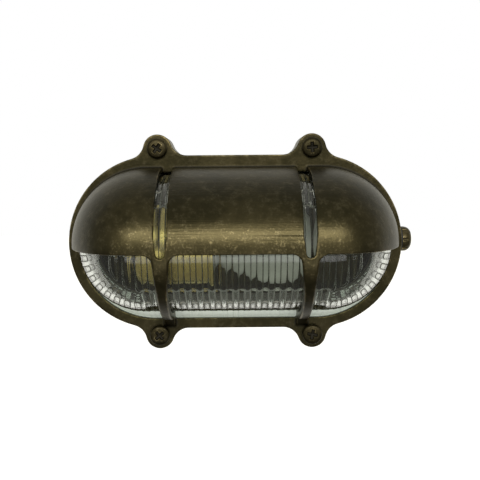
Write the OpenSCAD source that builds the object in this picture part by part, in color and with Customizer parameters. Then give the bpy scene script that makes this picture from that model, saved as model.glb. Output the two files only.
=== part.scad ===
// Oval eyelid bulkhead light: a cast brass base, a cast brass cover with a hood and two guard bars,
// a ribbed glass lens clamped between them, and a lampholder lying across the base.
// X runs along the oval, Z is up and Y runs into the wall. The wall is the plane Y = 0 and the front
// faces -Y. A value whose name ends in _at is a distance in front of the wall.

/* [Flange] */
// Length of the oval flange
flange_l = 200; // [190:1:230]
// Height of the oval flange
flange_h = 104; // [102:1:112]
// Thickness of the cover's flange
flange_t = 4; // [3:0.5:6]
// Width of the plain strip round the lower windows
flange_strip = 6; // [5:0.5:7]

/* [Lugs] */
// Distance between the lugs along the oval
lug_pitch_x = 92; // [84:1:100]
// How far the lug centres lie outside the flange's straight edge
lug_out = 4; // [2:0.5:6]
// Radius of a lug
lug_r = 8.5; // [8:0.5:11]
// Radius of the hollow blend beside a lug
lug_blend_r = 10; // [6:0.5:14]

/* [Hood] */
// Length of the hood at the flange
hood_l = 193; // [185:1:193]
// Height of the whole dome at the flange
hood_w = 89; // [86:0.5:91]
// How far the hood stands out from the flange
hood_out = 59.5; // [54:0.5:70]
// Radius of the hood's rounded front
hood_front_r = 37; // [32:0.5:40]
// Wall of the hood and the guard bars
hood_wall = 2.8; // [2:0.1:3.2]
// Drop of the hood's rim below the centre line
rim_drop = 2.2; // [0:0.2:6]

/* [Guard bars] */
// Distance between the two guard bars
bar_pitch = 79.4; // [70:0.2:90]
// Width of a bar at the hood's rim
bar_top_w = 9; // [8:0.5:11]
// Width of a bar at its foot
bar_foot_w = 6; // [4:0.5:8]
// Length over which a bar narrows
bar_taper_l = 22; // [12:1:30]
// How far the keel stands off a bar's wall
keel_out = 1.2; // [0.6:0.1:2]
// How far the keel stands off a bar's front
keel_lift = 0.3; // [0.1:0.05:0.6]
// Step from a bar's side to its keel
keel_inset = 0.5; // [0.3:0.1:1]
// Width of the keel left beside the slot
keel_edge = 0.9; // [0.5:0.1:1.5]
// Radius of the windows' upper corners
window_corner_r = 5.5; // [3:0.5:8]
// Height of the ramp at a bar's foot
foot_rise = 10; // [6:0.5:14]
// How far the ramp stands out on each side of its bar
foot_spread = 0.3; // [0.2:0.1:1]
// Distance from the ramp's toe to the flange's edge
foot_inset = 1.3; // [0.5:0.1:3]

/* [Slots] */
// Width of a hood slot
slot_w = 7; // [5:0.2:7.8]
// Width of a slot at its rounded lower end
slot_end_w = 4.8; // [3:0.2:5]
// Length over which a slot narrows
slot_taper_l = 9; // [5:0.5:14]
// Depth of a slot's lower end below the hood's rim
slot_below_rim = 1.8; // [0:0.2:4]

/* [Glass] */
// Gap between the hood and the glass
glass_gap = 0.9; // [0.6:0.1:1.6]
// Wall of the glass
glass_wall = 4; // [3:0.25:5]
// Thickness of the glass rim
glass_rim_t = 3; // [2.5:0.25:4]
// Distance between the ribs
rib_pitch = 6.5; // [5.5:0.5:9]
// Width of the groove between two ribs
rib_groove_w = 3; // [2:0.25:4]
// Depth of the grooves
rib_groove_t = 1; // [0.5:0.1:1.5]
// Distance from the middle line to where the front ribs end and the side ribs begin
rib_front_r = 21.5; // [17:0.5:24]
// How far the front ribs and the side ribs run past each other
rib_lap = 0.7; // [0:0.1:1.5]
// Half length of the part in which the front ribs all end on one line
rib_field_e = 48; // [40:1:52]
// Distance from an end's axis to the tops of its ribs
rib_end_r = 31.5; // [27:0.5:33]

/* [Base] */
// Depth of the base
base_d = 24; // [22:1:36]
// Thickness of the base's floor
floor_t = 3; // [2.5:0.25:4]
// Wall of the base round its pocket
base_wall = 8.5; // [8:0.25:9]
// Wall of the base round the seat of the glass
seat_wall = 3.5; // [3:0.25:4]
// Thickness of the shelf that widens the seat under the foot of the glass
shelf_t = 2.5; // [2:0.25:3]
// Distance between the two wall fixing holes
fixing_pitch = 112; // [108:1:116]
// Diameter of a wall fixing hole
fixing_d = 5.5; // [4:0.5:6]
// Height of the fixing holes above the centre line
fixing_rise = 31; // [29.5:0.5:32]

/* [Gaskets] */
// Thickness of the gasket under the glass
seat_gasket_t = 2; // [1.5:0.25:3]
// Thickness of the gasket over the glass rim
cover_gasket_t = 1; // [0.5:0.25:2]

/* [Cover screws] */
// Thread diameter of a cover screw
screw_d = 6; // [5:0.5:7]
// Head diameter of a cover screw
screw_head_d = 12; // [10:0.5:14]
// Head height of a cover screw
screw_head_h = 3.6; // [3:0.2:5]
// Length of a cover screw under its head
screw_l = 20; // [14:1:22]
// Width of the arms of the cross recess
cross_w = 1.6; // [1:0.1:2]
// Length of the arms of the cross recess, end to end
cross_l = 6; // [5:0.25:8]
// Depth of the cross recess
cross_t = 2; // [1:0.25:2.5]

/* [Side entry] */
// Thread diameter of the blanking plug
plug_thread_d = 10; // [8:0.5:12]
// Head diameter of the blanking plug
plug_head_d = 15.2; // [13:0.2:17]
// Length of the plug's head
plug_head_l = 6; // [5:0.25:8]
// Radius of the plug's domed edge
plug_dome_r = 4.5; // [3:0.25:5]
// Width of the screwdriver slot in the plug
plug_slot_w = 1.6; // [1:0.1:2]
// Depth of the screwdriver slot
plug_slot_t = 2.2; // [1:0.1:3]
// Number of grip grooves round the plug's head
plug_grips = 8; // [4:2:12]
// Width of a grip groove
plug_grip_w = 1.6; // [0.8:0.1:2]
// Depth of a grip groove
plug_grip_t = 0.7; // [0.3:0.1:1]
// How far the entry's boss stands out past the flange
boss_out = 1.5; // [0.5:0.25:2]
// Thickness of the plug's washer
plug_washer_t = 1; // [0.5:0.25:2]

/* [Rear entry] */
// Distance of the rear entry from the middle
entry_x = 36; // [36:1:40]
// Height of the rear entry above the centre line
entry_rise = 22; // [20:0.5:24]
// Diameter of the hole for the grommet
entry_d = 16; // [12:0.5:18]
// Diameter of the cable hole in the grommet
cable_d = 9; // [6:0.5:10]
// Width of the grommet's lip
lip_w = 3; // [2:0.5:3]
// Thickness of the grommet's lip
lip_t = 2; // [1.5:0.25:3]

/* [Lampholder] */
// Distance of the lamp's axis from the wall
lamp_at = 36; // [34:0.5:42]
// Distance of the bracket's upright from the middle
bracket_x = 60; // [58:0.5:62]
// Thickness of the bracket
bracket_t = 1.5; // [1:0.1:2]
// Width of the bracket
bracket_w = 20; // [19:0.5:22]
// Length of the bracket's foot
bracket_foot_l = 22; // [20:0.5:24]
// Diameter of the threaded nipple
nipple_d = 10; // [9:0.25:11]
// Bore of the nipple
nipple_bore_d = 7; // [6.5:0.25:7.5]
// Thickness of the lock nut
locknut_t = 4; // [3:0.25:5]
// Diameter of the lampholder
holder_d = 49; // [42:0.2:50]
// Sheet of the lampholder's cap and skirt
holder_sheet = 1.4; // [1:0.1:1.6]
// Length of the lampholder's cap
holder_cap_l = 14; // [13:0.5:18]
// Radius of the cap's rounded shoulder
holder_cap_r = 10; // [6:0.5:11]
// Length of the lampholder's skirt
holder_skirt_l = 34; // [28:0.5:38]
// Radius of the bead round the skirt's mouth
holder_bead_r = 1.5; // [1:0.1:2]
// Length of the ceramic insert
insert_l = 12; // [10:0.5:14]
// Diameter of the thread shell's bore
thread_bore_d = 27; // [26:0.1:28]
// Length of the thread shell
thread_l = 20; // [14:0.5:22]
// Sheet of the thread shell
thread_sheet = 0.4; // [0.3:0.05:0.8]

/* [Lamp] */
// Diameter of the lamp's globe
globe_d = 50; // [44:1:51]
// Distance from the lamp's contact to the centre of its globe
globe_reach = 62; // [56:1:66]
// Diameter of the lamp's neck where it leaves the cap
neck_d = 26; // [24:0.5:26.5]
// Length of the lamp's metal cap
lamp_cap_l = 26; // [22:0.5:28]
// Width of the lamp's centre contact
lamp_tip_d = 9; // [7:0.5:11]

/* [Terminals] */
// Length of the terminal block
block_l = 24; // [20:1:28]
// Distance between the two poles
pole_pitch = 8; // [8:0.25:9]
// Height of the terminal block
block_h = 10; // [9:0.5:11]
// Distance of the lower pole from the centre line
pole_z = 16; // [15.5:0.25:18]
// Diameter of a wire
wire_d = 2.5; // [1.5:0.1:2.8]
// Diameter of a terminal screw
terminal_screw_d = 4; // [3:0.1:4.4]
// Inner radius of a wire's bends
wire_bend_r = 3; // [2:0.25:4]

/* [Small screws] */
// Thread diameter of the bracket and earth screws
small_screw_d = 4; // [3:0.25:4.5]
// Head diameter of the bracket and earth screws
small_head_d = 7; // [6:0.25:8]
// Head height of the bracket and earth screws
small_head_h = 2.6; // [2:0.1:3.5]
// Height of the floor bosses
floor_boss_h = 3; // [2:0.25:4]
// Distance between the two bracket screws
bracket_screw_pitch = 12; // [10.5:0.25:12]

/* [Clearances] */
// Gap round the glass rim and the gaskets in their seat
seat_clear = 0.4; // [0.2:0.05:0.6]
// Gap on the diameter of a screw in its tapped hole
thread_clear = 0.1; // [0.05:0.05:0.2]
// Gap on the diameter of a screw or a tube in a plain hole
hole_clear = 0.6; // [0.3:0.1:1]
// Gap on the diameter of a pushed-in part
push_clear = 0.2; // [0.1:0.05:0.4]

/* [Hidden] */
$fn = 64;
eps = 0.5;
brass = "#5c4c2c";
bright_brass = "#b8913f";

// Plan outlines
flange_r = flange_h / 2;
flange_e = (flange_l - flange_h) / 2;
hood_r = hood_w / 2;
hood_e = (hood_l - hood_w) / 2;
lug_x = lug_pitch_x / 2;
lug_z = flange_r + lug_out;
window_r = flange_r - flange_strip;
pocket_r = flange_r - base_wall;
seat_r = flange_r - seat_wall;
rim_r = seat_r - seat_clear;

// Levels in front of the wall
face_at = base_d + flange_t;
glass_rim_at = base_d - cover_gasket_t - glass_rim_t;
seat_at = glass_rim_at - seat_gasket_t;
floor_boss_at = floor_t + floor_boss_h;
glass_skirt = face_at - glass_rim_at;

// Offsets of the dome's surfaces from the hood's outside
hood_in = -hood_wall;
glass_out = hood_in - glass_gap;
glass_in = glass_out - glass_wall;
foot_r = hood_r + glass_in;
past = hood_out + face_at;

// The dome's two arcs: centres, and a far point on the line through their joint
front_c = hood_out - hood_front_r;
narrow = hood_r - hood_front_r;
wall_c = (front_c * front_c - narrow * narrow) / (2 * narrow);
reach = 3 * (hood_r + wall_c);
joint = [0, front_c] + 5 * [wall_c, front_c];

// Guard bars and windows
bar_x = bar_pitch / 2;
rim_z = -rim_drop;
slot_end_z = rim_z - slot_below_rim + slot_end_w / 2;
keel_top = slot_end_z + slot_taper_l;

// Side entry
boss_x = flange_l / 2 + boss_out;
boss_r = plug_head_d / 2 + 0.6;
plug_at = seat_at - plug_thread_d / 2 - 1.2;
plug_head_x = boss_x + plug_washer_t;

// Lampholder and lamp along X
holder_r = holder_d / 2;
holder_in_r = holder_r - holder_sheet;
cap_x = -bracket_x;
skirt_x = cap_x + holder_cap_l;
nipple_end_x = cap_x + 5;
insert_x = nipple_end_x + 1;
insert_face_x = insert_x + insert_l;
contact_h = 4;
lamp_x = insert_face_x + contact_h;
globe_x = lamp_x + globe_reach;
globe_r = globe_d / 2;
lamp_cap_r = (thread_bore_d - hole_clear) / 2;

// Small pieces on the floor
bracket_screw_x = -bracket_x - bracket_foot_l * 0.64;
earth_x = -24;
earth_z = -entry_rise - 4;
block_x = 0;
block_w = 2 * pole_pitch;
block_z = pole_z - pole_pitch / 2;
block_mid_z = pole_z + pole_pitch / 2;
wire_at = floor_t + block_h / 2;
block_top_at = floor_t + block_h;
wire_turn_r = wire_bend_r + wire_d / 2;
nipple_left_x = cap_x - bracket_t - locknut_t - 2;

// Rounded-rectangle oval with round ends, half length e between the end centres
module oval(e, r) {
    square([2 * e, 2 * r], center = true);
    for (s = [-1, 1])
        translate([s * e, 0])
            circle(r);
}

// A flat outline in X and Z, carried out from the wall between two levels
module out_of_wall(from_at, to_at) {
    translate([0, -from_at, 0])
        rotate([90, 0, 0])
            linear_extrude(to_at - from_at)
                children();
}

// A section in Z and height, given a width along X
module across(w) {
    rotate([180, 0, 0])
        rotate([0, 90, 0])
            linear_extrude(w, center = true)
                children();
}

// A section in radius and X, turned about the lamp's axis
module turned_on_lamp_axis() {
    translate([0, -lamp_at, 0])
        rotate([0, 90, 0])
            rotate_extrude()
                children();
}

// A cylinder standing out of the wall at a place on the floor
module post(x, z, d, from_at, to_at) {
    translate([x, -from_at, z])
        rotate([90, 0, 0])
            cylinder(d = d, h = to_at - from_at);
}

// Half section of the dome's wall: an arc that stands square to the flange, up to the joint
module wall_section(grow, skirt) {
    intersection() {
        translate([-wall_c, 0])
            circle(hood_r + wall_c + grow);
        polygon([[0, 0], [0, front_c], joint, [reach, 0]]);
    }
    translate([0, -skirt])
        square([hood_r + grow, skirt + eps]);
}

// Half section of the whole dome: the wall's arc and the tangent arc of its front
module dome_section(grow, skirt) {
    wall_section(grow, skirt);
    intersection() {
        translate([0, front_c])
            circle(hood_front_r + grow);
        square(reach);
    }
}

// Oval dome on the plane Y = 0: a straight middle, and ends with a turned wall and a ball front
module dome(grow, skirt) {
    across(2 * hood_e) {
        dome_section(grow, skirt);
        mirror([1, 0])
            dome_section(grow, skirt);
    }
    for (s = [-1, 1])
        translate([s * hood_e, 0, 0]) {
            half_turn(s)
                wall_section(grow, skirt);
            intersection() {
                translate([0, -front_c, 0])
                    sphere(hood_front_r + grow);
                half_turn(s)
                    translate([0, front_c])
                        square(reach);
            }
        }
}

// A half section in distance from the axis and height, turned through the outer half of an end
module half_turn(s) {
    rotate([90, 0, 0])
        rotate([0, 0, -90 * s])
            rotate_extrude(angle = 180)
                children();
}

// The oval flange with its four lugs and their hollow blends
module lugged_oval() {
    reach = lug_r + lug_blend_r;
    edge_z = flange_r + lug_blend_r;
    inner_c = [lug_x - sqrt(reach * reach - pow(edge_z - lug_z, 2)), edge_z];
    lug = [lug_x, lug_z];
    end = [flange_e, 0];
    ring = flange_r + lug_blend_r;
    gap = norm(lug - end);
    along = (gap * gap + ring * ring - reach * reach) / (2 * gap);
    side = sqrt(ring * ring - along * along);
    ahead = (lug - end) / gap;
    outer_c = end + along * ahead + side * [ahead[1], -ahead[0]];
    oval(flange_e, flange_r);
    for (sx = [0, 1], sz = [0, 1])
        mirror([sx, 0])
            mirror([0, sz]) {
                translate(lug)
                    circle(lug_r);
                difference() {
                    polygon([inner_c, lug, outer_c, end, [inner_c[0], 0]]);
                    translate(inner_c)
                        circle(lug_blend_r);
                    translate(outer_c)
                        circle(lug_blend_r);
                }
            }
}

// The four lug places
module at_lugs() {
    for (sx = [-1, 1], sz = [-1, 1])
        translate([sx * lug_x, 0, sz * lug_z])
            children();
}

// The openings below the hood's rim, between and beside the guard bars
module window_openings() {
    top_z = rim_z - window_corner_r;
    taper_z = rim_z - bar_taper_l;
    low_z = -2 * flange_r;
    in_top = bar_x - bar_top_w / 2;
    in_foot = bar_x - bar_foot_w / 2;
    out_top = bar_x + bar_top_w / 2;
    out_foot = bar_x + bar_foot_w / 2;
    far = flange_l;
    polygon([[-in_top, top_z], [in_top, top_z], [in_foot, taper_z], [in_foot, low_z],
        [-in_foot, low_z], [-in_foot, taper_z]]);
    translate([-in_top + window_corner_r, top_z])
        square([2 * (in_top - window_corner_r), window_corner_r]);
    for (s = [0, 1])
        mirror([s, 0]) {
            translate([in_top - window_corner_r, top_z])
                circle(window_corner_r);
            polygon([[out_top, top_z], [far, top_z], [far, low_z], [out_foot, low_z],
                [out_foot, taper_z]]);
            translate([out_top + window_corner_r, top_z])
                square([far - out_top - window_corner_r, window_corner_r]);
            translate([out_top + window_corner_r, top_z])
                circle(window_corner_r);
        }
}

// The two slots in the hood, tapered to a round lower end
module slot_openings() {
    taper_z = slot_end_z + slot_taper_l;
    for (s = [-1, 1])
        translate([s * bar_x, 0]) {
            polygon([[-slot_w / 2, flange_h], [-slot_w / 2, taper_z], [-slot_end_w / 2, slot_end_z],
                [slot_end_w / 2, slot_end_z], [slot_w / 2, taper_z], [slot_w / 2, flange_h]]);
            translate([0, slot_end_z])
                circle(d = slot_end_w);
        }
}

// Raised keel along each guard bar, running out on the hood beside the slot
module bar_keels() {
    taper_z = rim_z - bar_taper_l;
    top_half = slot_w / 2 + keel_edge;
    bar_half = bar_top_w / 2 - keel_inset;
    foot_half = bar_foot_w / 2 - keel_inset;
    for (s = [-1, 1])
        translate([s * bar_x, 0, 0])
            intersection() {
                translate([0, -face_at, 0])
                    across(2 * bar_top_w)
                        translate([-keel_out, keel_lift]) {
                            dome_section(0, flange_t / 2);
                            mirror([1, 0])
                                dome_section(0, flange_t / 2);
                        }
                out_of_wall(base_d, past + flange_t)
                    polygon([[-top_half, keel_top], [-bar_half, rim_z], [-foot_half, taper_z],
                        [-foot_half, -flange_h], [foot_half, -flange_h], [foot_half, taper_z],
                        [bar_half, rim_z], [top_half, keel_top]]);
            }
}

// Ramp that spreads a guard bar's foot over the flange
module bar_feet() {
    toe_z = -(flange_r - foot_inset);
    wall_z = -(hood_r - hood_wall / 2);
    for (s = [-1, 1])
        translate([s * bar_x, -face_at, 0])
            across(bar_foot_w + 2 * foot_spread)
                polygon([[wall_z, -eps], [toe_z, -eps], [toe_z, eps], [wall_z, foot_rise]]);
}

// Cast cover: flange, hood and guard bars in one piece
module front_cover() {
    color(brass)
        difference() {
            union() {
                difference() {
                    out_of_wall(base_d, face_at)
                        lugged_oval();
                    out_of_wall(base_d - eps, face_at + eps)
                        intersection() {
                            oval(flange_e, window_r);
                            window_openings();
                        }
                }
                difference() {
                    translate([0, -face_at, 0])
                        dome(0, flange_t / 2);
                    out_of_wall(base_d - eps, past + eps)
                        window_openings();
                }
                bar_keels();
                bar_feet();
            }
            translate([0, -face_at, 0])
                dome(hood_in, flange_t + eps);
            out_of_wall(face_at, past + eps)
                slot_openings();
            at_lugs()
                post(0, 0, screw_d + hole_clear, base_d - eps, face_at + eps);
        }
}

// Cast back box: floor, pocket, seat of the glass, tapped lugs and the side entry's boss
module base() {
    color(brass)
        difference() {
            union() {
                difference() {
                    union() {
                        out_of_wall(0, base_d)
                            lugged_oval();
                        translate([flange_e + pocket_r + base_wall / 2, -plug_at, 0])
                            rotate([0, 90, 0])
                                cylinder(r = boss_r, h = boss_x - flange_e - pocket_r - base_wall / 2);
                    }
                    out_of_wall(floor_t, base_d + eps)
                        oval(flange_e, pocket_r);
                    out_of_wall(seat_at, base_d + eps)
                        oval(flange_e, seat_r);
                }
                floor_bosses();
                out_of_wall(seat_at - shelf_t, seat_at)
                    difference() {
                        oval(flange_e, pocket_r + eps);
                        oval(hood_e, foot_r);
                    }
            }
            at_lugs()
                post(0, 0, screw_d + thread_clear, face_at - screw_l - 1, base_d + eps);
            translate([flange_e + pocket_r - 2 * eps, -plug_at, 0])
                rotate([0, 90, 0])
                    cylinder(d = plug_thread_d + thread_clear, h = flange_l);
            for (s = [-1, 1])
                post(s * fixing_pitch / 2, fixing_rise, fixing_d, -eps, floor_t + eps);
            post(entry_x, entry_rise, entry_d, -eps, floor_t + eps);
            small_screw_places()
                post(0, 0, small_screw_d + thread_clear, 1, floor_boss_at + eps);
            post(block_x + block_l / 2, block_mid_z, 3 + thread_clear, 1, floor_t + eps);
        }
}

// Places of the two bracket screws and the earth screw
module small_screw_places() {
    bracket_screw_places()
        children();
    translate([earth_x, 0, earth_z])
        children();
}

module bracket_screw_places() {
    for (s = [-1, 1])
        translate([bracket_screw_x, 0, s * bracket_screw_pitch / 2])
            children();
}

// Bosses on the floor that the small screws are tapped into
module floor_bosses() {
    small_screw_places()
        post(0, 0, small_screw_d * 2 + 1, floor_t - eps, floor_boss_at);
}

// Grooves that leave the ribs standing inside the glass
module rib_grooves() {
    straight = floor(2 * hood_e / rib_pitch + 0.01);
    step = 2 * hood_e / straight;
    around = floor(PI * (hood_r + glass_in) / rib_pitch);
    turn = 180 / around;
    for (i = [0 : straight - 1])
        translate([-hood_e + (i + 0.5) * step, 0, 0])
            across(rib_groove_w) {
                groove_section(rib_front_r - rib_lap);
                mirror([1, 0])
                    groove_section(rib_front_r - rib_lap);
            }
    for (i = [0 : straight])
        translate([-hood_e + i * step, 0, 0])
            across(rib_groove_w)
                intersection() {
                    union() {
                        groove_section(-eps);
                        mirror([1, 0])
                            groove_section(-eps);
                    }
                    square([2 * front_rib_reach(abs(-hood_e + i * step)), 4 * hood_out], center = true);
                }
    for (s = [-1, 1], i = [1, 2])
        intersection() {
            translate([s * hood_e, -front_c, 0])
                sphere(hood_front_r + glass_in + rib_groove_t);
            translate([s * (hood_e + i * step), -2 * front_c, 0])
                cube([rib_groove_w, 2 * front_c, 2 * front_rib_reach(hood_e + i * step)], center = true);
        }
    for (s = [-1, 1], j = [0 : around - 1])
        translate([s * hood_e, 0, 0])
            rotate([0, s * (j + 0.5) * turn, 0])
                across(rib_groove_w)
                    groove_section(rib_end_r);
}

// Half length of the front rib at a distance from the middle
function front_rib_reach(x) =
    sqrt(pow(rib_front_r + rib_lap, 2) - pow(max(0, x - rib_field_e), 2));

// Section of one groove, from a distance off the axis down to the glass rim
module groove_section(from_r) {
    intersection() {
        difference() {
            dome_section(glass_in + rib_groove_t, glass_skirt + 1);
            dome_section(glass_in - eps, glass_skirt + 2);
        }
        translate([from_r, -2 * glass_skirt])
            square(4 * hood_out);
    }
}

// Pressed glass lens: a dome with a clamped rim, smooth outside and ribbed inside
module glass_lens() {
    color([0.82, 0.9, 0.86, 0.4])
        difference() {
            union() {
                translate([0, -face_at, 0])
                    dome(glass_out, glass_skirt);
                out_of_wall(glass_rim_at, glass_rim_at + glass_rim_t)
                    oval(flange_e, rim_r);
            }
            translate([0, -face_at, 0]) {
                dome(glass_in, glass_skirt + eps);
                rib_grooves();
            }
        }
}

// Pale soft ring between the base's seat and the glass
module seat_gasket() {
    color("#e8ebe4")
        out_of_wall(seat_at, glass_rim_at)
            difference() {
                oval(flange_e, rim_r);
                oval(hood_e, foot_r + seat_clear);
            }
}

// Narrow ring between the glass rim and the cover
module cover_gasket() {
    color("#d9dcd5")
        out_of_wall(base_d - cover_gasket_t, base_d)
            difference() {
                oval(flange_e, rim_r);
                oval(flange_e, window_r + seat_clear);
            }
}

// Pan-head screw with a cross recess, its head on the level given
module pan_screw(d, head_d, head_h, length, head_at) {
    edge = head_h * 0.6;
    translate([0, -head_at, 0])
        rotate([90, 0, 0]) {
            translate([0, 0, -length])
                cylinder(d = d, h = length + eps);
            difference() {
                rotate_extrude()
                    intersection() {
                        square([head_d / 2, head_h]);
                        union() {
                            square([head_d / 2, head_h - edge]);
                            square([head_d / 2 - edge, head_h]);
                            translate([head_d / 2 - edge, head_h - edge])
                                circle(edge);
                        }
                    }
                for (turn = [0, 90])
                    rotate([0, 0, turn])
                        translate([-cross_l / 12 * head_d / 2, -cross_w / 24 * head_d, head_h - cross_t / 3.6 * head_h])
                            cube([cross_l / 12 * head_d, cross_w / 12 * head_d, head_h]);
            }
        }
}

// Four screws that hold the cover to the base
module cover_screws() {
    color(bright_brass)
        at_lugs()
            pan_screw(screw_d, screw_head_d, screw_head_h, screw_l, face_at);
}

// Domed plug in the side cable entry, with an upright slot in its end and grip grooves round its head
module blanking_plug() {
    r = plug_head_d / 2;
    color(brass)
        translate([0, -plug_at, 0])
            rotate([0, 90, 0])
                difference() {
                    rotate_extrude() {
                        translate([0, flange_e + pocket_r + 1])
                            square([plug_thread_d / 2, plug_head_x - flange_e - pocket_r]);
                        translate([0, plug_head_x]) {
                            square([r, plug_head_l - plug_dome_r]);
                            square([r - plug_dome_r, plug_head_l]);
                            intersection() {
                                translate([r - plug_dome_r, plug_head_l - plug_dome_r])
                                    circle(plug_dome_r);
                                square([r, plug_head_l]);
                            }
                        }
                    }
                    translate([-plug_head_d, -plug_slot_w / 2, plug_head_x + plug_head_l - plug_slot_t])
                        cube([2 * plug_head_d, plug_slot_w, plug_head_l]);
                    for (i = [0:plug_grips - 1])
                        rotate([0, 0, 90 + i * 360 / plug_grips])
                            translate([r - plug_grip_t, -plug_grip_w / 2, plug_head_x - eps])
                                cube([r, plug_grip_w, plug_head_l]);
                }
}

// Sealing washer under the plug's head
module plug_washer() {
    color("#1d1c1a")
        translate([boss_x, -plug_at, 0])
            rotate([0, 90, 0])
                difference() {
                    cylinder(d = plug_head_d, h = plug_washer_t);
                    translate([0, 0, -eps])
                        cylinder(d = plug_thread_d + push_clear, h = plug_washer_t + 2 * eps);
                }
}

// Bent strip that carries the lampholder on the base's bosses
module holder_bracket() {
    color("#8d8f90")
        difference() {
            union() {
                translate([cap_x - bracket_foot_l, -floor_boss_at - bracket_t, -bracket_w / 2])
                    cube([bracket_foot_l, bracket_t, bracket_w]);
                translate([cap_x - bracket_t / 2, 0, 0])
                    across(bracket_t) {
                        translate([-bracket_w / 2, floor_boss_at])
                            square([bracket_w, lamp_at - floor_boss_at]);
                        translate([0, lamp_at])
                            circle(d = bracket_w);
                    }
            }
            bracket_screw_places()
                post(0, 0, small_screw_d + hole_clear, floor_boss_at - eps, floor_boss_at + bracket_t + eps);
            turned_on_lamp_axis()
                translate([0, cap_x - bracket_t - eps])
                    square([(nipple_d + push_clear) / 2, bracket_t + 2 * eps]);
        }
}

// Two screws that hold the bracket to the base
module bracket_screws() {
    head_at = floor_boss_at + bracket_t;
    color("#b9b7b0")
        bracket_screw_places()
            pan_screw(small_screw_d, small_head_d, small_head_h, head_at - 2, head_at);
}

// Threaded tube that ties the lampholder to the bracket
module holder_nipple() {
    color("#a9a59a")
        turned_on_lamp_axis()
            translate([nipple_bore_d / 2, nipple_left_x])
                square([(nipple_d - nipple_bore_d) / 2, nipple_end_x - nipple_left_x]);
}

// Hexagon nut on the nipple behind the bracket
module holder_locknut() {
    color(bright_brass)
        translate([cap_x - bracket_t - locknut_t, -lamp_at, 0])
            rotate([0, 90, 0])
                difference() {
                    cylinder(d = nipple_d * 1.7, h = locknut_t, $fn = 6);
                    translate([0, 0, -eps])
                        cylinder(d = nipple_d + thread_clear, h = locknut_t + 2 * eps, $fn = 64);
                }
}

// Half section of a cup with a rounded shoulder, its floor at 0
module cup_section(r, length, shoulder) {
    square([r - shoulder, length]);
    translate([0, shoulder])
        square([r, length - shoulder]);
    intersection() {
        translate([r - shoulder, shoulder])
            circle(shoulder);
        square([r, length]);
    }
}

// Spun brass cap behind the lampholder
module holder_cap() {
    color(bright_brass)
        turned_on_lamp_axis()
            translate([0, cap_x])
                difference() {
                    cup_section(holder_r, holder_cap_l, holder_cap_r);
                    translate([0, holder_sheet])
                        cup_section(holder_in_r, holder_cap_l, holder_cap_r - holder_sheet);
                    translate([0, -eps])
                        square([(nipple_d + thread_clear) / 2, holder_cap_l]);
                }
}

// Ceramic insert with two wire holes
module holder_insert() {
    r = holder_in_r - push_clear / 2;
    color("#ece9e0")
        difference() {
            turned_on_lamp_axis()
                translate([0, insert_x])
                    cup_section(r, insert_l, holder_cap_r - holder_sheet);
            for (s = [-1, 1])
                translate([insert_x - eps, -lamp_at, s * nipple_bore_d])
                    rotate([0, 90, 0])
                        cylinder(d = wire_d + hole_clear, h = insert_l + 2 * eps);
        }
}

// Screw shell that takes the lamp's cap
module thread_shell() {
    color("#b98a4a")
        turned_on_lamp_axis()
            translate([thread_bore_d / 2, insert_face_x])
                square([thread_sheet, thread_l]);
}

// Sprung tongue on the insert, touching the lamp's centre contact
module centre_contact() {
    sheet = 0.6;
    half = lamp_tip_d / 2;
    color("#c39a52")
        translate([insert_face_x, -lamp_at, 0])
            linear_extrude(half, center = true)
                polygon([[0, -half], [sheet, -half], [contact_h, 0], [contact_h - sheet, sheet],
                    [sheet, sheet - half], [sheet, half], [0, half]]);
}

// Brass skirt with a beaded mouth and a grip band
module holder_skirt() {
    band_l = holder_skirt_l / 5;
    color(bright_brass)
        turned_on_lamp_axis()
            translate([0, skirt_x]) {
                translate([holder_in_r, 0])
                    square([holder_sheet, holder_skirt_l - holder_bead_r]);
                translate([holder_in_r + holder_bead_r, holder_skirt_l - holder_bead_r])
                    circle(holder_bead_r);
                translate([holder_in_r + holder_sheet / 2, 0])
                    square([holder_sheet, band_l]);
            }
}

// Screw-cap lamp with a round opal globe, sealed
module lamp() {
    cap_step = lamp_cap_l / 6;
    cap_end = lamp_x + lamp_cap_l;
    meet = globe_r * 0.46;
    color("#eceae2")
        turned_on_lamp_axis() {
            polygon([[0, lamp_x], [lamp_tip_d / 2, lamp_x], [lamp_tip_d / 2, lamp_x + cap_step / 3],
                [lamp_cap_r, lamp_x + cap_step], [lamp_cap_r, cap_end], [neck_d / 2, cap_end],
                [sqrt(globe_r * globe_r - meet * meet), globe_x - meet], [0, globe_x - meet]]);
            intersection() {
                translate([0, globe_x])
                    circle(globe_r);
                translate([0, globe_x - meet])
                    square(2 * globe_d);
            }
        }
}

// Two-pole terminal block on the floor
module terminal_block() {
    color("#e4e2d8")
        difference() {
            translate([block_x, -block_top_at, block_z])
                cube([block_l, block_h, block_w]);
            for (p = [0, 1])
                translate([block_x - eps, -wire_at, pole_z + p * pole_pitch])
                    rotate([0, 90, 0])
                        cylinder(d = wire_d + hole_clear, h = block_l + 2 * eps);
            terminal_places()
                post(0, 0, terminal_screw_d + push_clear, wire_at, block_top_at + eps);
            post(block_x + block_l / 2, block_mid_z, 3 + hole_clear, floor_t - eps, block_top_at + eps);
        }
}

// Two screws on each pole
module terminal_places() {
    for (p = [0, 1], s = [0.2, 0.8])
        translate([block_x + s * block_l, 0, pole_z + p * pole_pitch])
            children();
}

// Slotted terminal screws, down on the wires
module terminal_screws() {
    from_at = wire_at + wire_d / 2;
    color("#c9a660")
        difference() {
            terminal_places()
                post(0, 0, terminal_screw_d, from_at, block_top_at);
            terminal_places()
                translate([-terminal_screw_d, -block_top_at - eps, -0.4])
                    cube([2 * terminal_screw_d, 1 + eps, 0.8]);
        }
}

// Screw through the middle of the terminal block
module block_screw() {
    color("#b9b7b0")
        translate([block_x + block_l / 2, 0, block_mid_z])
            pan_screw(3, pole_pitch - wire_d, 2, block_top_at - 1.5, block_top_at);
}

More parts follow.
